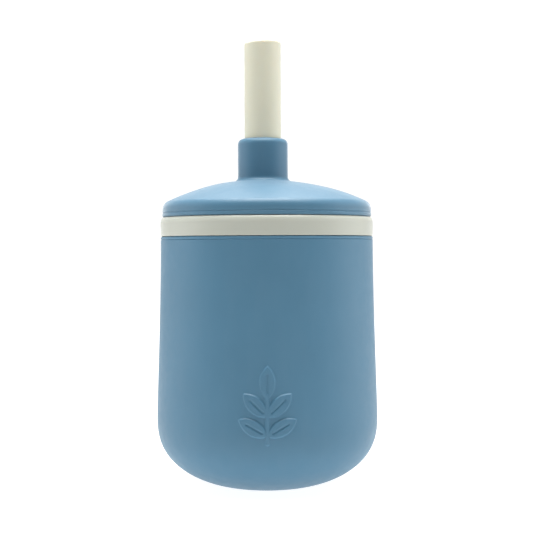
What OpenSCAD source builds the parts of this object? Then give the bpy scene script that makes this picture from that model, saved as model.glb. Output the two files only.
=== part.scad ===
// Straw cup for a toddler: a soft sleeve round a drinking cup, a plug-in lid and a straw.
// Millimetres, +Z up. The front faces -Y, and the origin is the centre of the base.

/* [Sleeve] */
// Outer radius of the sleeve at its top edge
sleeve_top_r = 36; // [35.8:0.05:36.4]
// Height of the sleeve's top edge
sleeve_top_z = 83.7; // [80:0.1:88]
// Outer radius of the sleeve at its fullest
belly_r = 37.5; // [37:0.05:39]
// Height at which the sleeve is fullest
belly_z = 24.9; // [23:0.1:27]
// Radius of the flat that the cup stands on
foot_r = 14; // [12:0.1:16]
// How square the rounded bottom is at the foot, where 2 is an ellipse
foot_power = 1.5; // [1.4:0.01:1.8]
// How square the rounded bottom is at the belly, where 2 is an ellipse
belly_power = 2.88; // [2.6:0.01:3]
// How late the wall flares on its way down, where 1 is a straight cone
flare_power = 1.66; // [1.2:0.01:2.4]
// How far the belly is rounded off where the wall runs into the bottom
belly_blend = 0.16; // [0.05:0.01:0.3]
// Thickness of the sleeve under the drinking cup
sleeve_floor = 4.9; // [4.5:0.1:6]
// Rounding of the edges on both sides of the seam
seam_edge_r = 0.45; // [0.3:0.05:0.6]

/* [Emblem] */
// Height of the leaf sprig on the sleeve's front
sprig_h = 24; // [20:0.5:26]
// Height of the sprig's lower end above the table
sprig_z = 19; // [17:0.5:24]
// How far the sprig stands out of the sleeve
sprig_relief = 0.5; // [0.3:0.05:0.8]
// Width of the sprig's stem
stem_w = 1.3; // [0.8:0.1:1.6]
// Width of the groove along each leaf
vein_w = 0.6; // [0.4:0.1:0.9]

/* [Drinking cup] */
// Outer radius of the rim band at its widest
rim_r = 36.1; // [36:0.05:36.5]
// Height of the rim
rim_z = 90.2; // [89.2:0.1:91]
// Gap between the rim band and the sleeve's top edge
seam_gap = 0.15; // [0.1:0.05:0.3]
// Rounding of the rim's outer edge
rim_edge_r = 1.2; // [0.6:0.1:1.4]
// Wall of the drinking cup
cup_wall = 1.7; // [1.4:0.1:2]
// Inner radius of the drinking cup at the rim
cup_mouth_r = 31.4; // [31:0.1:31.6]
// How much narrower the drinking cup is at the bottom of its wall
cup_draft = 2; // [1:0.1:3]
// Rounding inside the bottom of the drinking cup
cup_corner_r = 9.3; // [7:0.1:11]
// Clearance between the drinking cup and the sleeve
cup_gap = 0.3; // [0.25:0.05:0.4]

/* [Lid] */
// Outer radius of the lid
lid_r = 35.4; // [35:0.05:36]
// Gap between the lid and the rim
lid_gap = 0.1; // [0.1:0.05:0.3]
// Height of the parting line above the lid's lower edge
parting_h = 1.15; // [1:0.05:1.6]
// How far the lip under the parting line stands out
lip_step = 0.08; // [0.04:0.01:0.15]
// Height of the lid's upright edge, up to where its shoulder starts
lid_edge_h = 2.55; // [2.4:0.05:3.2]
// Radius of the shoulder between the upright edge and the dome
shoulder_r = 3.1; // [2.4:0.1:3.4]
// Radius of the dome's curve
dome_r = 74; // [70:1:80]
// Thickness of the lid
lid_wall = 2.6; // [2.2:0.1:3]
// Depth to which the lid's plug reaches into the cup
plug_h = 7; // [6:0.1:8]
// Wall of the plug
plug_wall = 1.8; // [1.5:0.1:2.2]
// Clearance of the plug's sealing ribs in the cup
rib_gap = 0.08; // [0.05:0.01:0.1]
// Radius of the vent hole
vent_r = 0.7; // [0.6:0.1:0.8]

/* [Collar] */
// Outer radius of the collar that holds the straw
collar_r = 8.5; // [8.2:0.1:9]
// Height of the collar's top
collar_top_z = 116.9; // [112:0.1:120]
// Rounding of the collar's top edge
collar_edge_r = 1.9; // [1:0.1:2.1]
// Rounding where the collar meets the dome
collar_foot_r = 1.2; // [0.8:0.1:2]
// Distance of the collar and the straw from the cup's axis, towards -X
straw_shift = 1.25; // [0:0.05:2]

/* [Straw] */
// Outer radius of the straw
straw_r = 6.2; // [5.9:0.05:6.3]
// Radius of the straw's bore
straw_bore_r = 3.25; // [3:0.05:3.6]
// Height of the straw's tip
straw_top_z = 150.1; // [140:0.1:160]
// Running clearance of the straw in the collar
straw_gap = 0.06; // [0.03:0.01:0.1]
// Height of the straw's lower end above the cup's floor
straw_lift = 3; // [2.5:0.1:6]
// Rounding of the straw's tip
straw_tip_r = 1.1; // [0.6:0.1:1.3]
// Radius of the notches that let the drink into the straw's lower end
notch_r = 2.4; // [1.5:0.1:2.8]

/* [Hidden] */
$fn = 128;

sleeve_color = "#5f8aa6";
cream_color = "#d9d8c9";

// Steps along the curves of an outline
bowl_steps = 22;
wall_steps = 10;
corner_steps = 10;
arc_steps = 6;
dome_steps = 10;
// How far a cut runs past a face, and how far a joined shape sinks into its neighbour
overlap = 1;

// Sprig: size of a leaf as shares, the start and the angle of each pair, and the groove in a leaf
leaf_share = 0.43;
leaf_slimness = 0.46;
leaf_pairs = [[0.34, 46], [0.09, 60]];
groove_start = 0.2;
groove_share = 0.52;
sprig_sink = 3;

// Drinking cup: height of its straight wall, extra thickness of its floor, and the rim
cup_straight_h = 12;
cup_floor_extra = 0.3;
rim_inner_edge_r = 0.8;
band_lip = 1.3;
band_top = 2;
tongue_gap = 0.3;
band_z = sleeve_top_z + seam_gap;
cup_outer_r = cup_mouth_r + cup_wall;
cup_knee_z = band_z - cup_straight_h;
cup_floor_z = sleeve_floor + cup_gap + cup_wall + cup_floor_extra;
cup_corner_z = cup_floor_z + cup_corner_r;

// Lid: the plug with its ribs, the edge, the shoulder and the arc of the dome
plug_gap = 0.4;
rib_r = 0.9;
rib_places = [0.35, 0.75];
vent_y = 20;
lip_edge_r = 0.3;
dome_start_a = 25.4;
dome_end_a = 5;
lid_z = rim_z + lid_gap;
plug_r = cup_mouth_r - plug_gap;
space_r = plug_r - plug_wall;
shoulder_z = lid_z + lid_edge_h;
shoulder_sweep = 90 - dome_start_a;
dome_start_r = lid_r - shoulder_r * (1 - cos(shoulder_sweep));
dome_start_z = shoulder_z + shoulder_r * sin(shoulder_sweep);
dome_center_r = dome_start_r - dome_r * sin(dome_start_a);
dome_center_z = dome_start_z - dome_r * cos(dome_start_a);

straw_bottom_z = cup_floor_z + straw_lift;

// Points of an arc about [cx, cz], from angle a to angle b
function arc(cx, cz, r, a, b, steps = arc_steps) =
    [for (i = [0:steps]) let (t = a + (b - a) * i / steps) [cx + r * cos(t), cz + r * sin(t)]];

// Lesser of two radii, with the corner between them rounded off
function soft_min(a, b) = (a + b) / 2 - sqrt(pow((a - b) / 2, 2) + pow(belly_blend, 2));

// Outer radius of the flared wall at a height, carried on below the belly
function wall_r(z) =
    sleeve_top_r + (belly_r - sleeve_top_r)
    * pow(max(0, (sleeve_top_z - z) / (sleeve_top_z - belly_z)), flare_power);

// Point of the rounded bottom, from the foot at 90 degrees to the belly at 0
function bowl_point(a) =
    let (z = belly_z * (1 - pow(sin(a), 2 / belly_power)))
    [soft_min(foot_r + (belly_r - foot_r) * pow(cos(a), 2 / foot_power), wall_r(z)), z];

// Point of the wall, from the belly at 0 to the top edge at 1
function wall_point(t) =
    let (z = belly_z + (sleeve_top_z - seam_edge_r - belly_z) * t)
    [soft_min(belly_r, wall_r(z)), z];

// Height of the dome's outer face at a radius, for a shell that lies inset below it
function dome_z(r, inset = 0) =
    dome_center_z + sqrt(pow(dome_r - inset, 2) - pow(r - dome_center_r, 2));

// Half outline of the drinking cup's outer wall and floor, grown by a margin
module cup_envelope(margin, top_z) {
    corner = cup_corner_r + cup_wall + margin;
    low_r = cup_outer_r - cup_draft + margin;
    polygon(concat(
        [[0, cup_corner_z - corner]],
        arc(low_r - corner, cup_corner_z, corner, -90, 0, corner_steps),
        [[cup_outer_r + margin, cup_knee_z], [cup_outer_r + margin, top_z], [0, top_z]]
    ));
}

// Half outline of the space inside the drinking cup
module cup_space() {
    low_r = cup_mouth_r - cup_draft;
    top_z = rim_z + overlap;
    polygon(concat(
        [[0, cup_floor_z]],
        arc(low_r - cup_corner_r, cup_corner_z, cup_corner_r, -90, 0, corner_steps),
        [[cup_mouth_r, cup_knee_z], [cup_mouth_r, top_z], [0, top_z]]
    ));
}

// Half outline of the sleeve's outer face, filled to the axis and grown outwards by a margin
module sleeve_outline(margin = 0) {
    face = concat(
        [for (i = [0:bowl_steps]) bowl_point(90 * (1 - i / bowl_steps))],
        [for (i = [1:wall_steps]) wall_point(i / wall_steps)],
        arc(sleeve_top_r - seam_edge_r, sleeve_top_z - seam_edge_r, seam_edge_r, 0, 90)
    );
    polygon(concat([[0, 0]], [for (p = face) p + [margin, 0]], [[0, sleeve_top_z]]));
}

// Leaf between two arcs, from its base at the origin up along Y
module leaf_blade(length, width) {
    r = (length * length + width * width) / (4 * width);
    intersection() {
        translate([r - width / 2, length / 2]) circle(r = r);
        translate([width / 2 - r, length / 2]) circle(r = r);
    }
}

// Leaf with a groove for its midrib
module leaf(length, width) {
    difference() {
        leaf_blade(length, width);
        translate([-vein_w / 2, groove_start * length]) square([vein_w, groove_share * length]);
    }
}

// Sprig of leaves, standing on the origin
module sprig() {
    leaf_h = leaf_share * sprig_h;
    leaf_w = leaf_slimness * leaf_h;
    translate([-stem_w / 2, 0]) square([stem_w, sprig_h - leaf_h + overlap]);
    translate([0, sprig_h - leaf_h]) leaf(leaf_h, leaf_w);
    for (pair = leaf_pairs, side = [-1, 1])
        translate([0, pair[0] * sprig_h]) rotate(side * pair[1]) leaf(leaf_h, leaf_w);
}

// Sprig raised on the sleeve's front face
module emblem() {
    intersection() {
        translate([0, sprig_sink - belly_r, sprig_z]) rotate([90, 0, 0])
            linear_extrude(height = sprig_sink + sprig_relief + overlap) sprig();
        rotate_extrude() sleeve_outline(sprig_relief);
    }
}

// Soft sleeve with a rounded, weighted bottom and a tongue that keeps it under the rim band
module sleeve() {
    tongue_outer_r = sleeve_top_r - band_lip - tongue_gap;
    tongue_inner_r = cup_outer_r + cup_gap;
    tongue_h = rim_z - band_top - tongue_gap - sleeve_top_z;
    color(sleeve_color) {
        rotate_extrude()
        difference() {
            union() {
                sleeve_outline();
                translate([tongue_inner_r, sleeve_top_z - overlap])
                    square([tongue_outer_r - tongue_inner_r, tongue_h + overlap]);
            }
            cup_envelope(cup_gap, rim_z);
        }
        emblem();
    }
}

// Drinking cup whose turned-down rim band shows above the sleeve
module drinking_cup() {
    groove_outer_r = sleeve_top_r - band_lip;
    inner_r = cup_mouth_r + rim_inner_edge_r;
    inner_z = rim_z - rim_inner_edge_r;
    color(cream_color)
    rotate_extrude()
    difference() {
        union() {
            cup_envelope(0, inner_z);
            polygon(concat(
                [[inner_r, band_z]],
                arc(sleeve_top_r - seam_edge_r, band_z + seam_edge_r, seam_edge_r, -90, 0),
                arc(rim_r - rim_edge_r, rim_z - rim_edge_r, rim_edge_r, 0, 90),
                arc(inner_r, inner_z, rim_inner_edge_r, 90, 180)
            ));
        }
        difference() {
            cup_space();
            translate([cup_mouth_r, inner_z]) square(rim_inner_edge_r + overlap);
        }
        translate([cup_outer_r, band_z - overlap])
            square([groove_outer_r - cup_outer_r, rim_z - band_top - band_z + overlap]);
    }
}

// Upright edge, shoulder and dome of the lid as a half outline, down to the plug's end
module lid_outline() {
    polygon(concat(
        [[0, lid_z - plug_h], [plug_r, lid_z - plug_h], [plug_r, lid_z]],
        arc(lid_r + lip_step - lip_edge_r, lid_z + lip_edge_r, lip_edge_r, -90, 0),
        [[lid_r + lip_step, lid_z + parting_h - lip_step], [lid_r, lid_z + parting_h + lip_step]],
        arc(lid_r - shoulder_r, shoulder_z, shoulder_r, 0, shoulder_sweep),
        arc(dome_center_r, dome_center_z, dome_r, 90 - dome_start_a, 90 - dome_end_a,
            dome_steps),
        [[0, dome_z(collar_r)]]
    ));
}

// Space under the lid: inside the plug and under the dome
module lid_space() {
    bottom_z = lid_z - plug_h - overlap;
    polygon(concat(
        [[0, bottom_z], [space_r, bottom_z]],
        [for (i = [0:arc_steps]) let (r = space_r + (collar_r - space_r) * i / arc_steps)
            [r, dome_z(r, lid_wall)]],
        [[0, dome_z(collar_r, lid_wall)]]
    ));
}

// Upright collar on the dome, with a rounded top and a rounded foot
module collar() {
    foot_z = dome_z(collar_r + collar_foot_r);
    sunk_z = foot_z - lid_wall / 2;
    polygon(concat(
        [[0, sunk_z], [collar_r + collar_foot_r, sunk_z]],
        arc(collar_r + collar_foot_r, foot_z + collar_foot_r, collar_foot_r, -90, -180),
        arc(collar_r - collar_edge_r, collar_top_z - collar_edge_r, collar_edge_r, 0, 90),
        [[0, collar_top_z]]
    ));
}

// Domed lid with a plug, two sealing ribs, a collar for the straw and a vent at the back
module lid() {
    color(sleeve_color)
    difference() {
        union() {
            rotate_extrude() difference() {
                lid_outline();
                lid_space();
            }
            for (place = rib_places)
                translate([0, 0, lid_z - place * plug_h]) rotate_extrude()
                    translate([cup_mouth_r - rib_gap - rib_r, 0]) circle(r = rib_r, $fn = 32);
            translate([-straw_shift, 0, 0]) rotate_extrude() collar();
        }
        translate([-straw_shift, 0, lid_z])
            cylinder(r = straw_r + straw_gap, h = collar_top_z - lid_z + overlap);
        translate([0, vent_y, lid_z]) cylinder(r = vent_r, h = collar_top_z - lid_z, $fn = 32);
    }
}

// Straight soft straw with a rounded tip and two notches in its lower end
module straw() {
    color(cream_color)
    translate([-straw_shift, 0, 0])
    difference() {
        rotate_extrude() polygon(concat(
            [[straw_bore_r, straw_bottom_z], [straw_r, straw_bottom_z]],
            arc(straw_r - straw_tip_r, straw_top_z - straw_tip_r, straw_tip_r, 0, 90),
            [[straw_bore_r, straw_top_z]]
        ));
        translate([0, straw_r + overlap, straw_bottom_z]) rotate([90, 0, 0])
            cylinder(r = notch_r, h = 2 * (straw_r + overlap), $fn = 48);
    }
}

sleeve();
drinking_cup();
lid();
straw();
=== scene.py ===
"""A toddler's straw cup: a soft sleeve, a drinking cup, a plug-in lid and a straw, in metres."""

import logging
import math
from collections.abc import Iterable
from dataclasses import dataclass, field
from enum import Enum

import bmesh
import bpy
from mathutils import Matrix, Vector


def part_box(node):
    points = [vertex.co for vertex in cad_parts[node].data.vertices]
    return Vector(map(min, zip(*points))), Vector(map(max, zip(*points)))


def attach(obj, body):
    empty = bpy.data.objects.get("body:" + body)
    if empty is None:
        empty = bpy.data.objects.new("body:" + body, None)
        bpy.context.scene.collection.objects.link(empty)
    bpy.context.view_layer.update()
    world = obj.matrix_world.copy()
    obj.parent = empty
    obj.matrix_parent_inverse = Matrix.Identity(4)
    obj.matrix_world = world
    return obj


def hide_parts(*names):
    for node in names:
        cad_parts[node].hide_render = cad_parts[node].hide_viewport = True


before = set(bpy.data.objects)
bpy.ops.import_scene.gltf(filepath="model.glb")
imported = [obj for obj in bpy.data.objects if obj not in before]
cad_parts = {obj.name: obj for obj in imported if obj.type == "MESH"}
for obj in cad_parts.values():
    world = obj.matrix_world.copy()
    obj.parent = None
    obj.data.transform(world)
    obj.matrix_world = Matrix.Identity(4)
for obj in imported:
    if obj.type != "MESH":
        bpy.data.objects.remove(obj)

log = logging.getLogger("straw_cup")

MM = 0.001

# Steps of a rounded corner and of a drilled hole, and the lengths that count as none in a turned mesh.
FILLET_STEPS = 7
HOLE_STEPS = 40
SAME_POINT = 0.002 * MM
SHORTEST_EDGE = 0.001 * MM

# Parts of a noise's range that are spread over the blotches and over the streaks.
NOISE_SPAN = (0.3, 0.7)
STREAK_SPAN = (0.45, 0.75)


def smooth_step(value: float) -> float:
    """Returns a value held between 0 and 1, with a soft start and end."""
    share = min(max(value, 0), 1)
    return share * share * (3 - 2 * share)


class Slot(Enum):
    """Material slots of the record."""

    SLEEVE = "blue_silicone"
    CUP = "cream_plastic"
    LID = "lid_silicone"
    STRAW = "cream_silicone"


# Finishes ---------------------------------------------------------------------------------------


class NodeGraph:
    """Small helper that adds and joins the nodes of one material."""

    def __init__(self, name: str) -> None:
        """Makes an empty material with an output.

        Args:
            name: the material's name.
        """
        self.material = bpy.data.materials.new(name)
        self.material.use_nodes = True
        self.tree = self.material.node_tree
        self.tree.nodes.clear()
        self.output = self.add("ShaderNodeOutputMaterial")

    def add(self, kind: str, **settings: object) -> bpy.types.Node:
        """Adds a node and sets its properties.

        Args:
            kind: the node's Blender type.
            settings: properties of the node, by name.

        Returns:
            The new node.
        """
        node = self.tree.nodes.new(kind)
        for key, value in settings.items():
            setattr(node, key, value)
        return node

    def link(self, source: bpy.types.NodeSocket, target: bpy.types.NodeSocket) -> None:
        """Joins an output socket, the source, to an input socket, the target."""
        self.tree.links.new(source, target)

    def noise(
        self, size: float, detail: float, stretch: tuple[float, float, float] = (1, 1, 1)
    ) -> bpy.types.NodeSocket:
        """Adds a noise pattern on the object's own coordinates.

        Args:
            size: width of one blotch, in metres.
            detail: how many finer layers the noise has.
            stretch: factor on each axis, below 1 where the pattern is drawn out.

        Returns:
            The noise's value, from 0 to 1.
        """
        place = self.add("ShaderNodeTexCoord")
        mapping = self.add("ShaderNodeMapping")
        mapping.inputs["Scale"].default_value = stretch
        pattern = self.add("ShaderNodeTexNoise")
        pattern.inputs["Scale"].default_value = 1 / size
        pattern.inputs["Detail"].default_value = detail
        self.link(place.outputs["Object"], mapping.inputs["Vector"])
        self.link(mapping.outputs["Vector"], pattern.inputs["Vector"])
        return pattern.outputs["Fac"]

    def remap(
        self,
        value: bpy.types.NodeSocket,
        source: tuple[float, float],
        target: tuple[float, float],
    ) -> bpy.types.NodeSocket:
        """Maps one range of a value to another, and holds it there.

        Args:
            value: the socket to map.
            source: the range that is read.
            target: the range that comes out.

        Returns:
            The mapped value.
        """
        node = self.add("ShaderNodeMapRange", clamp=True)
        for socket, number in zip(node.inputs[1:5], (*source, *target)):
            socket.default_value = number
        self.link(value, node.inputs["Value"])
        return node.outputs["Result"]

    def steps(
        self, value: bpy.types.NodeSocket, stops: tuple[tuple[float, float], ...]
    ) -> bpy.types.NodeSocket:
        """Maps a value through several stops, with a straight line between each two.

        Args:
            value: the socket to map.
            stops: what is read and what comes out at each stop, in rising order.

        Returns:
            The mapped value.
        """
        total = None
        for (start, before), (end, after) in zip(stops, stops[1:]):
            low = before if total is None else 0.0
            part = self.remap(value, (start, end), (low, low + after - before))
            if total is not None:
                joined = self.add("ShaderNodeMath", operation="ADD")
                self.link(total, joined.inputs[0])
                self.link(part, joined.inputs[1])
                part = joined.outputs[0]
            total = part
        return total

    def mix(
        self,
        amount: bpy.types.NodeSocket,
        first: tuple[float, float, float] | bpy.types.NodeSocket,
        second: tuple[float, float, float],
    ) -> bpy.types.NodeSocket:
        """Mixes two colours.

        Args:
            amount: 0 for the first colour, 1 for the second.
            first: a colour, or the socket that gives one.
            second: the other colour.

        Returns:
            The mixed colour.
        """
        node = self.add("ShaderNodeMix", data_type="RGBA")
        if isinstance(first, tuple):
            node.inputs["A"].default_value = (*first, 1)
        else:
            self.link(first, node.inputs["A"])
        node.inputs["B"].default_value = (*second, 1)
        self.link(amount, node.inputs["Factor"])
        return node.outputs["Result"]

    def specks(
        self, spacing: float, size: float, share: float = 0.28, core: float = 0.6
    ) -> bpy.types.NodeSocket:
        """Adds sparse round specks, such as dust or pigment grains.

        Args:
            spacing: width of the cells that may each hold a speck, in metres.
            size: radius of a speck, in metres.
            share: share of the cells that hold a speck.
            core: share of a speck's radius that is fully covered, before it fades out.

        Returns:
            1 inside a speck and 0 elsewhere.
        """
        place = self.add("ShaderNodeTexCoord")
        cells = self.add("ShaderNodeTexVoronoi")
        cells.inputs["Scale"].default_value = 1 / spacing
        self.link(place.outputs["Object"], cells.inputs["Vector"])
        near = self.remap(cells.outputs["Distance"], (core * size / spacing, size / spacing), (1, 0))
        kept = self.add("ShaderNodeMath", operation="GREATER_THAN")
        kept.inputs[1].default_value = 1 - share
        tone = self.add("ShaderNodeSeparateColor")
        self.link(cells.outputs["Color"], tone.inputs["Color"])
        self.link(tone.outputs["Red"], kept.inputs[0])
        both = self.add("ShaderNodeMath", operation="MULTIPLY")
        self.link(near, both.inputs[0])
        self.link(kept.outputs[0], both.inputs[1])
        return both.outputs[0]


def scaled(color: tuple[float, float, float], factor: float) -> tuple[float, float, float]:
    """Returns a colour made lighter or darker by a factor."""
    return tuple(min(1.0, channel * factor) for channel in color)


@dataclass(frozen=True)
class SoftFinish:
    """Matte moulded finish of a soft or satin part.

    Attributes:
        name: the material's name.
        color: linear base colour.
        dust: linear colour of the fine dust on it.
        roughness: lowest and highest roughness.
        mottle: how far the colour varies, as a share.
        grain: size of the moulded texture, in metres.
        relief: depth of the moulded texture, in metres.
        sheen: strength of the soft sheen at grazing angles.
        sheen_roughness: how widely the sheen spreads.
        scatter: share of light that scatters below the surface.
        scatter_depth: how deep it scatters, in metres.
        scatter_reach: how far red, green and blue scatter, as shares of that depth.
        ior: refractive index, which sets how strongly it reflects.
        specks: how strongly the fine specks of dust show.
        speck_spacing: width of the cells that may each hold a speck, in metres.
        speck_size: radius of a speck, in metres.
        blotch: size of the blotches that mottle the colour, in metres.
        streak: width of the upright streaks of dust, in metres.
        streak_draw: factor on the streaks' pattern along each axis, below 1 where it is drawn out.
        wear: size of the rougher and smoother patches, in metres.
    """

    name: str
    color: tuple[float, float, float]
    dust: tuple[float, float, float]
    roughness: tuple[float, float] = (0.42, 0.5)
    mottle: float = 0.02
    grain: float = 0.35 * MM
    relief: float = 0.004 * MM
    sheen: float = 0.0
    sheen_roughness: float = 0.3
    scatter: float = 0.0
    scatter_depth: float = 1.5 * MM
    scatter_reach: tuple[float, float, float] = (1.0, 0.8, 0.6)
    ior: float = 1.43
    specks: float = 0.15
    speck_spacing: float = 4 * MM
    speck_size: float = 0.09 * MM
    blotch: float = 14 * MM
    streak: float = 5 * MM
    streak_draw: tuple[float, float, float] = (1, 1, 0.25)
    wear: float = 3 * MM

    def material(self) -> bpy.types.Material:
        """Builds the finish as a node material.

        Returns:
            The material.
        """
        graph = NodeGraph(self.name)
        shader = graph.add("ShaderNodeBsdfPrincipled")
        graph.link(shader.outputs["BSDF"], graph.output.inputs["Surface"])
        shader.inputs["IOR"].default_value = self.ior
        shader.inputs["Sheen Weight"].default_value = self.sheen
        shader.inputs["Sheen Roughness"].default_value = self.sheen_roughness
        shader.inputs["Subsurface Weight"].default_value = self.scatter
        shader.inputs["Subsurface Radius"].default_value = self.scatter_reach
        shader.inputs["Subsurface Scale"].default_value = self.scatter_depth
        blotches = graph.remap(graph.noise(self.blotch, detail=3), NOISE_SPAN, (0, 1))
        streaks = graph.noise(self.streak, detail=2, stretch=self.streak_draw)
        darker, lighter = (scaled(self.color, 1 + change) for change in (-self.mottle, self.mottle))
        color = graph.mix(blotches, darker, lighter)
        color = graph.mix(graph.remap(streaks, STREAK_SPAN, (0, self.mottle / 2)), color, self.dust)
        specks = graph.specks(self.speck_spacing, self.speck_size)
        color = graph.mix(graph.remap(specks, (0, 1), (0, self.specks)), color, self.dust)
        graph.link(color, shader.inputs["Base Color"])
        rough = graph.remap(graph.noise(self.wear, detail=4), NOISE_SPAN, self.roughness)
        graph.link(rough, shader.inputs["Roughness"])
        bump = graph.add("ShaderNodeBump")
        bump.inputs["Distance"].default_value = self.relief
        graph.link(graph.noise(self.grain, detail=3), bump.inputs["Height"])
        graph.link(bump.outputs["Normal"], shader.inputs["Normal"])
        return graph.material


BLUE_DUST = (0.55, 0.62, 0.66)
SLEEVE_FINISH = SoftFinish("dusty_blue_sleeve", (0.074, 0.194, 0.296), BLUE_DUST)
# The lid is the sleeve's blue silicone; its slightly darker blue is painted shade that tones down the
# brightly lit dome.
SHADED_LID_FINISH = SoftFinish("dusty_blue_lid_painted_darker", (0.074, 0.186, 0.281), BLUE_DUST, sheen=0.4)
CUP_FINISH = SoftFinish(
    "warm_white_cup", (0.484, 0.500, 0.438), (0.62, 0.63, 0.58), roughness=(0.34, 0.4), mottle=0.008,
    relief=0.001 * MM, scatter=0.15, ior=1.44, specks=0.03,
)
STRAW_FINISH = SoftFinish(
    "cream_straw", (0.660, 0.648, 0.520), (0.78, 0.77, 0.70), roughness=(0.5, 0.6), mottle=0.012,
    ior=1.4, scatter=0.35, scatter_depth=2.5 * MM,
)


# Turned shapes ----------------------------------------------------------------------------------


class Outline:
    """Half outline of a turned piece in the XZ plane, spun round the Z axis."""

    def __init__(self) -> None:
        """Starts an empty outline."""
        self.mesh = bmesh.new()
        self.chain: list[bmesh.types.BMVert] = []
        self.fillets: list[tuple[bmesh.types.BMVert, float]] = []

    def to(self, radius: float, height: float, fillet: float = 0.0) -> "Outline":
        """Draws a straight line to a point.

        Args:
            radius: distance of the point from the axis.
            height: height of the point.
            fillet: radius of the rounding at the point, or 0 for a sharp corner.

        Returns:
            The outline itself.
        """
        vertex = self.mesh.verts.new((radius, 0, height))
        if self.chain:
            self.mesh.edges.new((self.chain[-1], vertex))
        self.chain.append(vertex)
        if fillet:
            self.fillets.append((vertex, fillet))
        return self

    def along(self, points: Iterable[tuple[float, float]]) -> "Outline":
        """Draws through the points of a curve.

        Args:
            points: radius and height of each point.

        Returns:
            The outline itself.
        """
        for radius, height in points:
            self.to(radius, height)
        return self

    def ring(self) -> "Outline":
        """Joins the last point to the first, for a piece with a hole along its axis."""
        self.mesh.edges.new((self.chain[-1], self.chain[0]))
        return self

    def _round_corners(self) -> None:
        """Turns each marked corner into an arc."""
        for vertex, radius in self.fillets:
            arms = [edge.other_vert(vertex).co - vertex.co for edge in vertex.link_edges]
            opening = arms[0].angle(arms[1])
            bmesh.ops.bevel(
                self.mesh, geom=[vertex], offset=radius / math.tan(opening / 2), offset_type="OFFSET",
                segments=FILLET_STEPS, profile=0.5, affect="VERTICES", material=-1, clamp_overlap=False,
            )

    def _split_long(self, longest: float) -> None:
        """Splits straight stretches, so that the faces stay short and shade evenly.

        Args:
            longest: longest step along the outline.
        """
        for edge in list(self.mesh.edges):
            cuts = int(edge.calc_length() / longest)
            if cuts:
                bmesh.ops.subdivide_edges(self.mesh, edges=[edge], cuts=cuts)

    def spin(self, segments: int = 192, longest: float = 1.25 * MM) -> bmesh.types.BMesh:
        """Spins the outline a full turn into a closed mesh.

        Args:
            segments: number of steps round the axis.
            longest: longest step along the outline.

        Returns:
            The turned mesh, with its faces pointing outwards.
        """
        self._round_corners()
        self._split_long(longest)
        bm = self.mesh
        bmesh.ops.spin(
            bm, geom=bm.verts[:] + bm.edges[:], cent=(0, 0, 0), axis=(0, 0, 1), angle=2 * math.pi,
            steps=segments, use_merge=True,
        )
        bmesh.ops.remove_doubles(bm, verts=bm.verts, dist=SAME_POINT)
        bmesh.ops.dissolve_degenerate(bm, edges=bm.edges, dist=SHORTEST_EDGE)
        bmesh.ops.recalc_face_normals(bm, faces=bm.faces)
        return bm


def finished(bm: bmesh.types.BMesh, name: str, material: bpy.types.Material) -> bpy.types.Object:
    """Turns a bmesh into a smooth object at the origin.

    Args:
        bm: the mesh, which is freed.
        name: the object's name.
        material: its finish.

    Returns:
        The new object.
    """
    mesh = bpy.data.meshes.new(name)
    for face in bm.faces:
        face.smooth = True
    bm.to_mesh(mesh)
    bm.free()
    mesh.materials.append(material)
    piece = bpy.data.objects.new(name, mesh)
    bpy.context.scene.collection.objects.link(piece)
    weighted = piece.modifiers.new("even shading", "WEIGHTED_NORMAL")
    weighted.keep_sharp = True
    return piece


def cut_round_hole(piece: bpy.types.Object, start: Vector, end: Vector, radius: float) -> None:
    """Cuts a straight round hole through a piece.

    Args:
        piece: the piece that is cut.
        start: one end of the hole's axis.
        end: the other end.
        radius: the hole's radius.
    """
    bm = bmesh.new()
    bmesh.ops.create_cone(
        bm, cap_ends=True, segments=HOLE_STEPS, radius1=radius, radius2=radius,
        depth=(end - start).length,
    )
    turn = Vector((0, 0, 1)).rotation_difference(end - start).to_matrix().to_4x4()
    bmesh.ops.transform(bm, matrix=Matrix.Translation((start + end) / 2) @ turn, verts=bm.verts)
    mesh = bpy.data.meshes.new("drill")
    bm.to_mesh(mesh)
    bm.free()
    drill = bpy.data.objects.new("drill", mesh)
    bpy.context.scene.collection.objects.link(drill)
    cut = piece.modifiers.new("hole", "BOOLEAN")
    cut.operation = "DIFFERENCE"
    cut.solver = "EXACT"
    cut.object = drill
    piece.modifiers.move(len(piece.modifiers) - 1, 0)
    with bpy.context.temp_override(object=piece, active_object=piece, selected_objects=[piece]):
        bpy.ops.object.modifier_apply(modifier=cut.name)
    bpy.data.objects.remove(drill)


def hand_in(piece: bpy.types.Object, body: str, node: str) -> None:
    """Tells the frame what a finished piece rides on and stands for.

    Args:
        piece: the finished piece.
        body: the body that it moves with.
        node: the CAD node that it replaces.
    """
    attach(piece, body)
    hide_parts(node)
    log.info("%s: %d faces", piece.name, len(piece.data.polygons))


# Pieces -----------------------------------------------------------------------------------------


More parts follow.
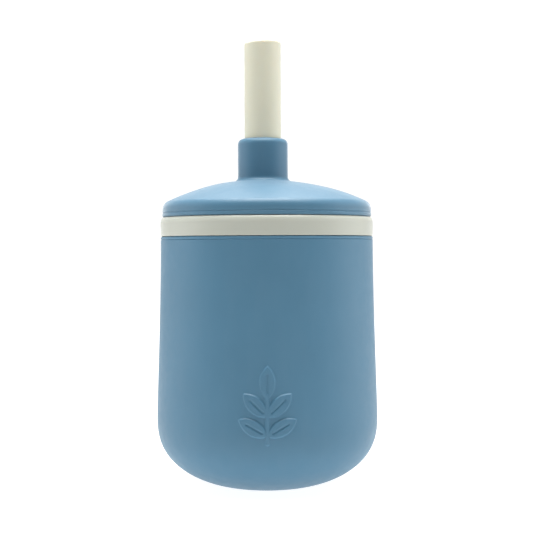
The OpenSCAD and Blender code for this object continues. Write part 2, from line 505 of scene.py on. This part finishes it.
@dataclass
class Sprig:
    """Raised sprig of leaves on the sleeve's front.

    Attributes:
        height: height of the sprig.
        base_z: height of its lower end above the table.
        relief: how far it stands out.
        shoulder: width of the slope at its edges.
        stem: width of the stem.
        stem_overlap: how far the stem runs into the top leaf.
        vein: width of the groove along each leaf.
        vein_depth: depth of that groove, as a share of the relief.
        vein_half: half of its length, as a share of the leaf's length.
        vein_drop: how far its middle lies below the leaf's, as a share of the leaf's length.
        leaf_share: length of a leaf as a share of the height.
        leaf_slimness: width of a leaf as a share of its length.
        pairs: where each pair of leaves starts, as a share of the height, and its angle in degrees.
        half_width: half of the sprig's width, as a share of the height.
        margin: how far the refined patch reaches past the sprig.
    """

    height: float = 24 * MM
    base_z: float = 19 * MM
    relief: float = 0.5 * MM
    shoulder: float = 0.6 * MM
    stem: float = 1.3 * MM
    stem_overlap: float = 1.0 * MM
    vein: float = 0.6 * MM
    vein_depth: float = 0.6
    vein_half: float = 0.26
    vein_drop: float = 0.04
    leaf_share: float = 0.43
    leaf_slimness: float = 0.46
    pairs: tuple[tuple[float, float], ...] = ((0.34, 46), (0.09, 60))
    half_width: float = 0.44
    margin: float = 1.5 * MM

    def _leaf(self, x: float, y: float, base: float, degrees: float) -> tuple[float, float]:
        """Measures how far a point lies from a leaf's edge and from its groove, negative inside.

        Args:
            x: sideways place of the point.
            y: height of the point above the sprig's base.
            base: height of the leaf's base.
            degrees: the leaf's angle from upright.

        Returns:
            The two distances, in metres.
        """
        length = self.leaf_share * self.height
        width = self.leaf_slimness * length
        radius = (length**2 + width**2) / (4 * width)
        turn = math.radians(degrees)
        across = x * math.cos(turn) - (y - base) * math.sin(turn)
        up = x * math.sin(turn) + (y - base) * math.cos(turn) - length / 2
        blade = max(
            math.hypot(across - side * (radius - width / 2), up) - radius for side in (-1, 1)
        )
        reach = max(abs(up + self.vein_drop * length) - self.vein_half * length, 0)
        return blade, math.hypot(across, reach) - self.vein / 2

    def _rise(self, distance: float) -> float:
        """Returns the share of the full height at a signed distance from an edge."""
        return smooth_step(0.5 - distance / self.shoulder)

    def lift(self, x: float, z: float) -> float:
        """Works out how far the sleeve stands out at a point of its front.

        Args:
            x: sideways place of the point.
            z: height of the point.

        Returns:
            The relief there, in metres.
        """
        y = z - self.base_z
        top = self.height * (1 - self.leaf_share)
        stem_top = top + self.stem_overlap
        distance = math.hypot(x, y - min(max(y, 0.0), stem_top)) - self.stem / 2
        groove = self.height
        leaves = [(top, 0.0)]
        for share, degrees in self.pairs:
            leaves += [(share * self.height, side * degrees) for side in (-1, 1)]
        for base, degrees in leaves:
            blade, vein = self._leaf(x, y, base, degrees)
            distance, groove = min(distance, blade), min(groove, vein)
        return self.relief * self._rise(distance) * (1 - self.vein_depth * self._rise(groove))

    def reaches(self, x: float, z: float) -> bool:
        """Returns whether a point of the front lies in the patch that holds the sprig."""
        beside = abs(x) < self.half_width * self.height + self.margin
        return beside and -self.margin < z - self.base_z < self.height + self.margin


@dataclass
class Sleeve:
    """Soft outer sleeve with a rounded bottom.

    Attributes:
        belly_z: height at which the sleeve is fullest.
        top_r: radius at the top edge.
        belly_r: radius where the sleeve is fullest.
        flare_power: how late the wall flares on its way down.
        belly_blend: rounding where the wall runs into the bottom.
        foot_r: radius of the flat that the cup stands on.
        foot_power: how flat the bottom leaves the foot.
        belly_power: how upright the bottom meets the wall.
        top_z: height of the top edge.
        edge: rounding of the top edge.
        crease: depth of the fine crease that runs below the top edge.
        crease_drop: how far the crease's upper and lower side lie below the edge.
        crease_edge: rounding of the crease's sides and of its bottom.
        crease_margin: how far below the crease the wall's own points end.
        tongue: inner and outer radius of the tongue that stands under the band.
        tongue_edge: rounding of the tongue's top.
        tongue_foot: rounding where the tongue meets the top edge.
        sprig: the raised sprig on the front.
        skin: depth within which a point counts as lying on the outer face.
        patch_cuts: how often each edge of the sprig's patch is cut.
    """

    belly_z: float = 24.9 * MM
    top_r: float = 36.0 * MM
    belly_r: float = 37.5 * MM
    flare_power: float = 1.66
    belly_blend: float = 0.16 * MM
    foot_r: float = 14.0 * MM
    foot_power: float = 1.5
    belly_power: float = 2.88
    top_z: float = 83.74 * MM
    edge: float = 0.7 * MM
    crease: float = 0.22 * MM
    crease_drop: tuple[float, float] = (0.85 * MM, 1.3 * MM)
    crease_edge: tuple[float, float] = (0.12 * MM, 0.06 * MM)
    crease_margin: float = 0.3 * MM
    tongue: tuple[float, float] = (33.4 * MM, 34.4 * MM)
    tongue_edge: float = 0.2 * MM
    tongue_foot: float = 0.15 * MM
    sprig: Sprig = field(default_factory=Sprig)
    skin: float = 0.3 * MM
    patch_cuts: int = 7

    def radius(self, z: float) -> float:
        """Works out the outer radius of the plain sleeve.

        Args:
            z: height above the table.

        Returns:
            The radius at that height.
        """
        rise = max(0.0, (self.top_z - z) / (self.top_z - self.belly_z))
        wall = self.top_r + (self.belly_r - self.top_r) * rise**self.flare_power
        bowl = self.belly_r
        if z < self.belly_z:
            sine = (1 - z / self.belly_z) ** (self.belly_power / 2)
            cosine = math.sqrt(max(0.0, 1 - sine * sine))
            bowl = self.foot_r + (self.belly_r - self.foot_r) * cosine ** (2 / self.foot_power)
        return (wall + bowl) / 2 - math.hypot((wall - bowl) / 2, self.belly_blend)

    def _face_points(self) -> list[tuple[float, float]]:
        """Draws the outer face, from the foot up to just below the crease.

        Returns:
            Radius and height of each point.
        """
        points = []
        bottom_steps = 44
        for step in range(bottom_steps + 1):
            sine = math.sin(math.pi / 2 * (1 - step / bottom_steps))
            z = self.belly_z * (1 - sine ** (2 / self.belly_power))
            points.append((self.radius(z) if step else self.foot_r, z))
        wall_steps = 48
        top = self.top_z - self.crease_drop[1] - self.crease_margin
        for step in range(1, wall_steps + 1):
            z = self.belly_z + (top - self.belly_z) * step / wall_steps
            points.append((self.radius(z), z))
        return points

    def _on_patch(self, point: Vector) -> bool:
        """Returns whether a point lies on the part of the outer face that holds the sprig."""
        outside = math.hypot(point.x, point.y) > self.radius(point.z) - self.skin
        return outside and point.y < 0 and self.sprig.reaches(point.x, point.z)

    def _emboss(self, bm: bmesh.types.BMesh) -> None:
        """Refines the front patch and raises the sprig on it.

        Args:
            bm: the sleeve's mesh.
        """
        patch = [face for face in bm.faces if self._on_patch(face.calc_center_median())]
        edges = list({edge for face in patch for edge in face.edges})
        bmesh.ops.subdivide_edges(bm, edges=edges, cuts=self.patch_cuts, use_grid_fill=True)
        for vertex in bm.verts:
            if self._on_patch(vertex.co):
                lifted = self.radius(vertex.co.z) + self.sprig.lift(vertex.co.x, vertex.co.z)
                flat = Vector((vertex.co.x, vertex.co.y)).normalized() * lifted
                vertex.co.x, vertex.co.y = flat

    def build(self, cup: "DrinkingCup") -> bpy.types.Object:
        """Builds the sleeve round the drinking cup.

        Args:
            cup: the drinking cup, whose wall the sleeve follows.

        Returns:
            The sleeve's object.
        """
        low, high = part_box("sleeve")
        inner, outer = self.tongue
        upper, lower = (self.top_z - drop for drop in self.crease_drop)
        middle = (upper + lower) / 2
        outline = Outline().to(0, low.z).along(self._face_points())
        outline.to(self.radius(lower), lower, self.crease_edge[0])
        outline.to(self.radius(middle) - self.crease, middle, self.crease_edge[1])
        outline.to(self.radius(upper), upper, self.crease_edge[0])
        outline.to(self.top_r, self.top_z, self.edge).to(outer, self.top_z, self.tongue_foot)
        outline.to(outer, high.z, self.tongue_edge).to(inner, high.z, self.tongue_edge)
        outline.along(reversed(cup.shell_points(cup.wall + cup.gap)))
        bm = outline.spin()
        self._emboss(bm)
        return finished(bm, "sleeve_soft", SLEEVE_FINISH.material())


@dataclass
class DrinkingCup:
    """Drinking cup whose turned-down rim band shows above the sleeve.

    Attributes:
        mouth_r: inner radius at the rim.
        wall: thickness of the wall.
        floor_extra: how much thicker the floor is than the wall.
        draft: how much narrower the bottom of the wall is.
        corner: rounding inside the bottom.
        gap: clearance to the sleeve.
        band_z: height of the band's lower edge.
        band_r: radius of the band's lower edge.
        lip: thickness of the band's turned-down wall.
        top: thickness of the rim above the band's groove.
        straight: height of the straight wall below the band.
        lower_edge: rounding of the band's lower edge.
        groove_edge: rounding inside the band's groove.
        mouth_edge: rounding of the rim towards the mouth.
        rim_edge: depth and height of the rim's rounded outer edge.
    """

    mouth_r: float = 31.4 * MM
    wall: float = 1.7 * MM
    floor_extra: float = 0.3 * MM
    draft: float = 2.0 * MM
    corner: float = 9.3 * MM
    gap: float = 0.3 * MM
    band_z: float = 83.78 * MM
    band_r: float = 35.92 * MM
    lip: float = 1.3 * MM
    top: float = 2.0 * MM
    straight: float = 12.0 * MM
    lower_edge: float = 0.25 * MM
    groove_edge: float = 0.3 * MM
    mouth_edge: float = 0.8 * MM
    rim_edge: tuple[float, float] = (1.15 * MM, 2.3 * MM)

    def shell_points(self, margin: float) -> list[tuple[float, float]]:
        """Draws a shell round the cup's inner face, from the axis up to the straight wall.

        Args:
            margin: distance of the shell outside the inner face.

        Returns:
            Radius and height of each point.
        """
        corner_z = self.floor_z + self.corner
        corner = self.corner + margin
        center_r = self.mouth_r - self.draft - self.corner
        below = corner + (self.floor_extra if margin else 0.0)
        points = [(0.0, corner_z - below)]
        steps = 12
        for step in range(steps + 1):
            angle = math.pi / 2 * (step / steps - 1)
            points.append((center_r + corner * math.cos(angle), corner_z + below * math.sin(angle)))
        points.append((self.mouth_r + margin, self.band_z - self.straight))
        return points

    @property
    def floor_z(self) -> float:
        """Returns the height of the cup's floor on its inside."""
        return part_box("drinking_cup")[0].z + self.wall + self.floor_extra

    def build(self) -> bpy.types.Object:
        """Builds the drinking cup.

        Returns:
            The cup's object.
        """
        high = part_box("drinking_cup")[1]
        outer_r = self.mouth_r + self.wall
        groove_r = self.band_r - self.lip
        groove_z = high.z - self.top
        outline = Outline().along(self.shell_points(self.wall))
        outline.to(outer_r, groove_z, self.groove_edge).to(groove_r, groove_z, self.groove_edge)
        outline.to(groove_r, self.band_z, self.groove_edge)
        outline.to(self.band_r, self.band_z, self.lower_edge)
        edge_steps = 14
        for step in range(edge_steps + 1):
            angle = math.pi / 2 * step / edge_steps
            outline.to(high.x - self.rim_edge[0] * (1 - math.cos(angle)),
                       high.z - self.rim_edge[1] * (1 - math.sin(angle)))
        outline.to(self.mouth_r, high.z, self.mouth_edge)
        outline.along(reversed(self.shell_points(0)))
        return finished(outline.spin(), "drinking_cup_band", CUP_FINISH.material())


@dataclass
class Lid:
    """Domed lid with a plug, sealing ribs, a collar for the straw and a vent.

    Attributes:
        wall: thickness of the dome.
        plug_r: outer radius of the plug.
        plug_wall: thickness of the plug.
        plug_edge: rounding of the plug's lower edge.
        rib_drops: how far each sealing rib lies below the lid's lower edge.
        rib_h: height of a rib at its foot and at its crest.
        rib_out: how far a rib stands out.
        rib_edge: rounding of a rib's foot and of its crest.
        edge_z: height of the lid's lower edge.
        lid_r: radius of the lid's upright edge.
        lip: how far the lip under the parting line stands out.
        lower_edge: rounding of the lower edge.
        root_edge: rounding where the lower edge meets the plug.
        parting: height of the parting line above the lower edge.
        parting_depth: depth of the parting line.
        parting_rises: heights of the lip's top, the line's bottom and its upper side, from there.
        parting_edges: rounding at each of those three places.
        edge_h: height of the upright edge.
        shoulder: radius of the shoulder.
        dome_r: radius of the dome's curve.
        dome_slope: slope at which the dome starts, in degrees.
        space_edge: rounding where the dome meets the plug on the inside.
        collar_r: outer radius of the collar.
        collar_edge: rounding of the collar's top.
        collar_foot: rounding where the collar meets the dome.
        foot_lead: how far the dome's own points keep from that rounding.
        bore_edges: rounding of the bore's upper and lower edge.
        bore_lead: how far the points of the dome's inner face keep from the bore.
        ease_from: how far outside the collar its sideways shift starts to fade.
        ease_to: radius at which the shift has faded out, as a share of the lid's radius.
        vent_r: radius of the vent hole.
        vent_y: distance of the vent behind the axis.
    """

    wall: float = 2.6 * MM
    plug_r: float = 31.0 * MM
    plug_wall: float = 1.8 * MM
    plug_edge: float = 0.4 * MM
    rib_drops: tuple[float, float] = (5.25 * MM, 2.45 * MM)
    rib_h: tuple[float, float] = (1.5 * MM, 0.6 * MM)
    rib_out: float = 0.32 * MM
    rib_edge: tuple[float, float] = (0.2 * MM, 0.3 * MM)
    edge_z: float = 90.3 * MM
    lid_r: float = 35.4 * MM
    lip: float = 0.08 * MM
    lower_edge: float = 0.6 * MM
    root_edge: float = 0.2 * MM
    parting: float = 1.4 * MM
    parting_depth: float = 0.2 * MM
    parting_rises: tuple[float, float, float] = (-0.4 * MM, 0.05 * MM, 0.25 * MM)
    parting_edges: tuple[float, float, float] = (0.3 * MM, 0.08 * MM, 0.1 * MM)
    edge_h: float = 2.55 * MM
    shoulder: float = 3.1 * MM
    dome_r: float = 74 * MM
    dome_slope: float = 25.4
    space_edge: float = 0.5 * MM
    collar_r: float = 8.5 * MM
    collar_edge: float = 1.9 * MM
    collar_foot: float = 1.6 * MM
    foot_lead: float = 0.5 * MM
    bore_edges: tuple[float, float] = (0.25 * MM, 0.4 * MM)
    bore_lead: float = 1.0 * MM
    ease_from: float = 3.0 * MM
    ease_to: float = 0.8
    vent_r: float = 0.7 * MM
    vent_y: float = 20 * MM

    def _dome_start(self) -> float:
        """Returns the radius at which the shoulder ends and the dome starts."""
        return self.lid_r - self.shoulder * (1 - math.sin(math.radians(self.dome_slope)))

    def _dome_z(self, radius: float, inset: float = 0.0) -> float:
        """Works out the height of the dome, or of a face that lies inset below it.

        Args:
            radius: distance from the axis.
            inset: how far the face lies below the dome.

        Returns:
            The height there.
        """
        slope = math.radians(self.dome_slope)
        center_r = self._dome_start() - self.dome_r * math.sin(slope)
        start_z = self.edge_z + self.edge_h + self.shoulder * math.cos(slope)
        center_z = start_z - self.dome_r * math.cos(slope)
        return center_z + math.sqrt((self.dome_r - inset) ** 2 - (radius - center_r) ** 2)

    def _draw_plug(self, outline: Outline, low_z: float) -> None:
        """Draws the outside of the plug, with its sealing ribs, from its lower edge upwards.

        Args:
            outline: the lid's outline.
            low_z: height of the plug's lower edge.
        """
        outline.to(self.plug_r, low_z, self.plug_edge)
        foot, crest = (height / 2 for height in self.rib_h)
        foot_edge, crest_edge = self.rib_edge
        for drop in self.rib_drops:
            rib_z = self.edge_z - drop
            outline.to(self.plug_r, rib_z - foot, foot_edge)
            outline.to(self.plug_r + self.rib_out, rib_z - crest, crest_edge)
            outline.to(self.plug_r + self.rib_out, rib_z + crest, crest_edge)
            outline.to(self.plug_r, rib_z + foot, foot_edge)
        outline.to(self.plug_r, self.edge_z, self.root_edge)

    def _draw_edge(self, outline: Outline) -> None:
        """Draws the lip, the parting line, the upright edge and the shoulder.

        Args:
            outline: the lid's outline.
        """
        lip_r = self.lid_r + self.lip
        outline.to(lip_r, self.edge_z, self.lower_edge)
        radii = (lip_r, self.lid_r - self.parting_depth, self.lid_r)
        for radius, rise, rounding in zip(radii, self.parting_rises, self.parting_edges):
            outline.to(radius, self.edge_z + self.parting + rise, rounding)
        center_z = self.edge_z + self.edge_h
        sweep = math.radians(90 - self.dome_slope)
        steps = 14
        for step in range(steps + 1):
            angle = sweep * step / steps
            outline.to(self.lid_r - self.shoulder * (1 - math.cos(angle)),
                       center_z + self.shoulder * math.sin(angle))

    def _draw_dome(self, outline: Outline, start: float, end: float, inset: float = 0.0) -> None:
        """Draws along the dome, or along a face inset below it, between two radii.

        Args:
            outline: the lid's outline.
            start: radius at which the curve starts, itself left out.
            end: radius at which it ends, itself left out.
            inset: how far the curve lies below the dome.
        """
        steps = 24
        for step in range(1, steps):
            radius = start + (end - start) * step / steps
            outline.to(radius, self._dome_z(radius, inset))

    def _shift_collar(self, bm: bmesh.types.BMesh, shift: float) -> None:
        """Moves the collar and the bore sideways, and eases the move out over the dome.

        Args:
            bm: the lid's mesh, turned about the cup's axis.
            shift: how far the collar moves along X.
        """
        inner, outer = self.collar_r + self.ease_from, self.ease_to * self.lid_r
        for vertex in bm.verts:
            reach = math.hypot(vertex.co.x, vertex.co.y)
            vertex.co.x += shift * smooth_step((outer - reach) / (outer - inner))

    def build(self, straw: "Straw") -> bpy.types.Object:
        """Builds the lid round the straw.

        Args:
            straw: the straw that stands in the collar.

        Returns:
            The lid's object.
        """
        low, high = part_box("lid")
        bore = straw.radius + straw.gap
        space_r = self.plug_r - self.plug_wall
        foot_end = self.collar_r + self.collar_foot + self.foot_lead
        outline = Outline()
        self._draw_plug(outline, low.z)
        self._draw_edge(outline)
        self._draw_dome(outline, self._dome_start(), foot_end)
        outline.to(self.collar_r, self._dome_z(self.collar_r), self.collar_foot)
        outline.to(self.collar_r, high.z, self.collar_edge)
        outline.to(bore, high.z, self.bore_edges[0])
        outline.to(bore, self._dome_z(bore, self.wall), self.bore_edges[1])
        self._draw_dome(outline, bore + self.bore_lead, space_r, self.wall)
        outline.to(space_r, self._dome_z(space_r, self.wall), self.space_edge)
        outline.to(space_r, low.z, self.plug_edge).ring()
        bm = outline.spin()
        self._shift_collar(bm, straw.center_x)
        piece = finished(bm, "lid_domed", SHADED_LID_FINISH.material())
        above = Vector((0, self.vent_y, high.z))
        cut_round_hole(piece, Vector((0, self.vent_y, low.z)), above, self.vent_r)
        return piece


@dataclass
class Straw:
    """Straight soft straw with a rounded tip and a notched lower end.

    Attributes:
        bore: radius of the bore.
        gap: running clearance in the collar.
        tip: rounding of the tip's outer and inner edge.
        end: rounding of the lower end's inner and outer edge.
        slant: slope of the cut tip, in degrees.
        slant_reach: length of the tip over which the slope builds up.
        notch: radius of the notches in the lower end.
        drill_reach: half the length of the drill that cuts them, as a share of the straw's radius.
        segments: number of steps round the straw.
        longest: longest step along the straw.
    """

    bore: float = 3.25 * MM
    gap: float = 0.06 * MM
    tip: tuple[float, float] = (1.1 * MM, 0.6 * MM)
    end: tuple[float, float] = (0.2 * MM, 0.3 * MM)
    slant: float = 2.0
    slant_reach: float = 6.0 * MM
    notch: float = 2.4 * MM
    drill_reach: float = 1.3
    segments: int = 96
    longest: float = 2.5 * MM

    @property
    def radius(self) -> float:
        """Returns the straw's outer radius."""
        low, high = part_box("straw")
        return (high.x - low.x) / 2

    @property
    def center_x(self) -> float:
        """Returns the sideways place of the straw's axis."""
        low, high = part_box("straw")
        return (high.x + low.x) / 2

    def build(self) -> bpy.types.Object:
        """Builds the straw.

        Returns:
            The straw's object.
        """
        low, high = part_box("straw")
        outline = Outline().to(self.bore, low.z, self.end[0]).to(self.radius, low.z, self.end[1])
        outline.to(self.radius, high.z, self.tip[0]).to(self.bore, high.z, self.tip[1]).ring()
        bm = outline.spin(self.segments, self.longest)
        for vertex in bm.verts:
            share = min(max(1 - (high.z - vertex.co.z) / self.slant_reach, 0), 1)
            vertex.co.z += share * vertex.co.x * math.tan(math.radians(self.slant))
        bmesh.ops.translate(bm, vec=(self.center_x, 0, 0), verts=bm.verts)
        piece = finished(bm, "straw_soft", STRAW_FINISH.material())
        reach = Vector((0, self.drill_reach * self.radius, 0))
        notch = Vector((self.center_x, 0, low.z))
        cut_round_hole(piece, notch - reach, notch + reach, self.notch)
        return piece


# Studio -----------------------------------------------------------------------------------------


@dataclass(frozen=True)
class SoftBox:
    """One soft light.

    Attributes:
        name: the light's name.
        place: where it stands.
        size: its width and height.
        power: its power in watts.
    """

    name: str
    place: tuple[float, float, float]
    size: tuple[float, float]
    power: float

    def build(self, target: Vector) -> bpy.types.Object:
        """Builds the light, aimed at a point.

        Args:
            target: the point that it faces.

        Returns:
            The light's object.
        """
        data = bpy.data.lights.new(self.name, "AREA")
        data.shape = "RECTANGLE"
        data.size, data.size_y = self.size
        data.energy = self.power
        light = bpy.data.objects.new(self.name, data)
        light.location = self.place
        light.rotation_euler = (target - light.location).to_track_quat("-Z", "Y").to_euler()
        light.visible_camera = False
        bpy.context.scene.collection.objects.link(light)
        return light


@dataclass
class Studio:
    """Self-lit pale floor, soft light and camera.

    Attributes:
        distance: distance of the camera from the cup's axis.
        eye_z: height of the camera.
        lens: focal length in millimetres.
        sensor: width of the camera's sensor in millimetres.
        near: distance at which the camera's view starts.
        drop: how far the view is shifted down, as a share of its width.
        roll: the camera's roll, in degrees.
        side: the camera's place to the side.
        floor_r: radius of the floor.
        floor_steps: number of steps round its edge.
        floor_roughness: how matte it is.
        floor_tone: share of light that the floor throws back.
        floor_glow: light that the floor gives, at each distance from the cup's axis.
        fill: light that comes evenly from all sides.
        backdrop: brightness of the white backdrop that the camera sees.
        aim: the point that every soft light faces.
        boxes: the soft lights, in metres and watts.
    """

    distance: float = 416 * MM
    eye_z: float = 79.6 * MM
    lens: float = 82.4
    sensor: float = 36.0
    near: float = 0.01
    drop: float = 0.0338
    roll: float = 0.2
    side: float = -0.12 * MM
    floor_r: float = 40.0
    floor_steps: int = 96
    floor_roughness: float = 0.9
    floor_tone: float = 0.35
    floor_glow: tuple[tuple[float, float], ...] = (
        (0.008, 0.4), (0.015, 0.93), (0.14, 0.93), (0.4, 0.74), (1.5, 1.1)
    )
    fill: float = 0.03
    backdrop: float = 1.05
    aim: tuple[float, float, float] = (0.0, 0.0, 0.08)
    boxes: tuple[SoftBox, ...] = (
        SoftBox("overhead", (0.0, 0.0, 0.8), (0.9, 0.9), 4.5),
        SoftBox("top_strip", (0.0, -0.07, 0.8), (0.6, 0.14), 6.0),
        SoftBox("overhead_back", (0.0, 0.3, 0.8), (0.6, 0.6), 5.6),
        SoftBox("high_back", (0.0, 0.7, 0.6), (1.2, 0.6), 0.4),
        SoftBox("low_back", (0.0, 0.9, 0.3), (1.8, 0.5), 3.2),
        SoftBox("left", (-0.8, 0.1, 0.25), (0.7, 0.9), 3.1),
        SoftBox("right", (0.8, 0.1, 0.25), (0.7, 0.9), 3.5),
    )

    def build_floor(self) -> bpy.types.Object:
        """Builds the pale floor, which glows by itself as painted light: dim right under the cup, even
        from 15 mm to 14 cm, dimmer at 40 cm and brightest far off.

        Returns:
            The floor's object.
        """
        bm = bmesh.new()
        bmesh.ops.create_circle(bm, cap_ends=True, segments=self.floor_steps, radius=self.floor_r)
        mesh = bpy.data.meshes.new("floor")
        bm.to_mesh(mesh)
        bm.free()
        graph = NodeGraph("self_lit_floor")
        shader = graph.add("ShaderNodeBsdfPrincipled")
        shader.inputs["Base Color"].default_value = (self.floor_tone,) * 3 + (1,)
        shader.inputs["Roughness"].default_value = self.floor_roughness
        shader.inputs["Specular IOR Level"].default_value = 0.0
        shader.inputs["Emission Color"].default_value = (1, 1, 1, 1)
        place = graph.add("ShaderNodeTexCoord")
        reach = graph.add("ShaderNodeVectorMath", operation="LENGTH")
        graph.link(place.outputs["Object"], reach.inputs[0])
        # Painted light: the floor's own glow, set by the distance from the cup's axis, lights the cup
        # from below.
        glow = graph.steps(reach.outputs["Value"], self.floor_glow)
        graph.link(glow, shader.inputs["Emission Strength"])
        graph.link(shader.outputs["BSDF"], graph.output.inputs["Surface"])
        mesh.materials.append(graph.material)
        floor = bpy.data.objects.new("floor", mesh)
        bpy.context.scene.collection.objects.link(floor)
        return floor

    def build_world(self) -> None:
        """Lights the room evenly, with a white backdrop."""
        world = bpy.data.worlds.new("studio")
        world.use_nodes = True
        nodes, links = world.node_tree.nodes, world.node_tree.links
        nodes.clear()
        output = nodes.new("ShaderNodeOutputWorld")
        backdrop, fill = nodes.new("ShaderNodeBackground"), nodes.new("ShaderNodeBackground")
        backdrop.inputs["Strength"].default_value = self.backdrop
        fill.inputs["Strength"].default_value = self.fill
        path, mix = nodes.new("ShaderNodeLightPath"), nodes.new("ShaderNodeMixShader")
        for background in (backdrop, fill):
            background.inputs["Color"].default_value = (1, 1, 1, 1)
        links.new(path.outputs["Is Camera Ray"], mix.inputs[0])
        links.new(fill.outputs[0], mix.inputs[1])
        links.new(backdrop.outputs[0], mix.inputs[2])
        links.new(mix.outputs[0], output.inputs["Surface"])
        bpy.context.scene.world = world

    def build_camera(self) -> bpy.types.Object:
        """Builds the camera, level and in front of the cup.

        Returns:
            The camera's object.
        """
        data = bpy.data.cameras.new("camera")
        data.lens = self.lens
        data.sensor_width = self.sensor
        data.shift_y = -self.drop
        data.clip_start = self.near
        camera = bpy.data.objects.new("camera", data)
        camera.location = (self.side, -self.distance, self.eye_z)
        level = Matrix.Rotation(math.pi / 2, 4, "X")
        camera.rotation_euler = (
            Matrix.Rotation(math.radians(self.roll), 4, "Y") @ level
        ).to_euler()
        bpy.context.scene.collection.objects.link(camera)
        bpy.context.scene.camera = camera
        return camera

    def build(self) -> None:
        """Builds the whole studio."""
        self.build_floor()
        self.build_world()
        self.build_camera()
        for box in self.boxes:
            box.build(Vector(self.aim))
        bpy.context.scene.view_settings.view_transform = "Standard"


def main() -> None:
    """Builds the cup and its studio."""
    logging.basicConfig(level=logging.INFO, format="%(message)s")
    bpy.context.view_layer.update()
    Studio().build()
    cup = DrinkingCup()
    straw = Straw()
    hand_in(Sleeve().build(cup), "sleeve", "sleeve")
    hand_in(cup.build(), "cup", "drinking_cup")
    hand_in(Lid().build(straw), "lid", "lid")
    hand_in(straw.build(), "straw", "straw")


if __name__ == "__main__":
    main()
